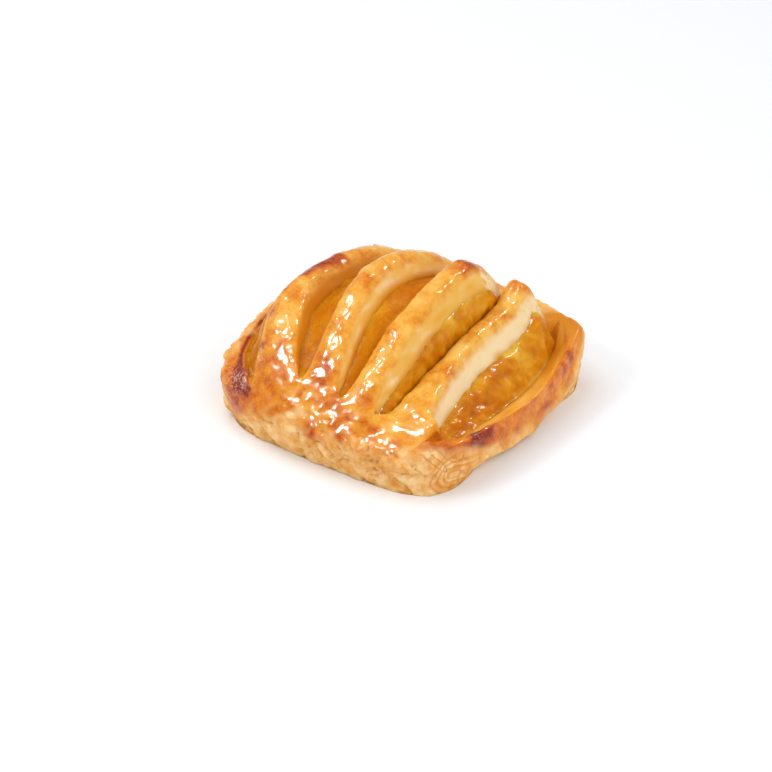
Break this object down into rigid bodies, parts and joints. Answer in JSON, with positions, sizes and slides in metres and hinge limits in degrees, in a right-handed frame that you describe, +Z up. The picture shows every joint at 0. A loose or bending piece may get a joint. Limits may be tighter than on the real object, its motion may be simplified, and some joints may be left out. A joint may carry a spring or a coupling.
{
  "type": "lattice pastry",
  "caption": "Small square puff pastry with a slit top that has opened into arched ribs over an apple filling, folded at the front and sealed at the other sides.",
  "frame": {"origin": "middle of the footprint, on the surface that the pastry rests on", "axes": "+X across the ribs, from the left end to the right end; +Y along the ribs, from the folded front to the back; +Z up"},
  "size_m": [0.0758, 0.0806, 0.0367],
  "materials": {
    "baked_crust": "egg-washed and glazed golden puff pastry, with pale matte cut faces and walls",
    "apple_filling": "wet amber apple filling"
  },
  "bodies": {
    "root": {"pastry": "baked_crust", "apple_filling": "apple_filling"}
  },
  "joints": []
}
